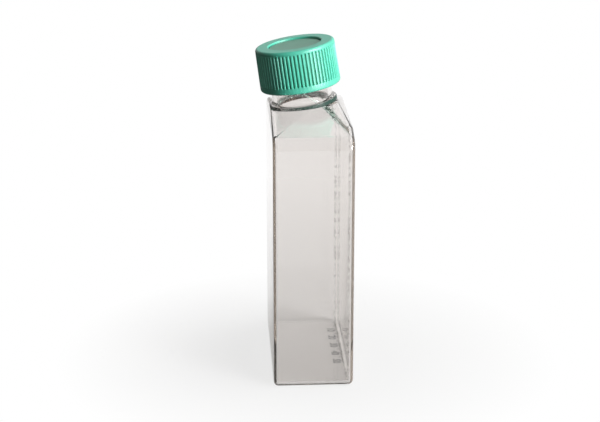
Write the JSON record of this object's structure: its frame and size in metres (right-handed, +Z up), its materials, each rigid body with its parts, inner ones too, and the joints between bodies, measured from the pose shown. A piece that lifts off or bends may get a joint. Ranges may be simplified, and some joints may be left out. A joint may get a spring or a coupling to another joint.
{
  "type": "cell culture flask",
  "caption": "Clear rectangular cell culture flask standing on end, with sloping shoulders, a leaning threaded neck and a ribbed green screw cap with a plug seal.",
  "frame": {"origin": "centre of the flat base end, the face that the standing flask rests on", "axes": "+Z up along the flask's length towards the neck, +X through its thickness towards the growth face, Y across its width; the neck leans towards -X"},
  "size_m": [0.0427, 0.084, 0.155],
  "materials": {
    "clear_polystyrene": "clear and glossy",
    "growth_face_polystyrene": "clear and glossy",
    "seal_plastic": "satin, moulded",
    "cap_plastic": "satin, moulded, fine vertical ribs"
  },
  "bodies": {
    "flask": {"flask_shell": "clear_polystyrene", "growth_plate": "growth_face_polystyrene"},
    "seal": {"plug_seal": "seal_plastic"},
    "cap": {"screw_cap": "cap_plastic"}
  },
  "joints": [
    {"name": "cap_turn", "type": "hinge", "parent": "seal", "child": "cap", "pos_m": [-0.00257, 0, 0.1255], "axis": [-0.1478, 0, 0.989], "range_deg": [0, 540]},
    {"name": "cap_rise", "type": "slide", "parent": "flask", "child": "seal", "axis": [-0.1478, 0, 0.989], "range_m": [0, 0.006]}
  ],
  "couplings": [
    {"joint": "cap_rise", "follows": "cap_turn", "m_per_rad": 0.00063662}
  ]
}
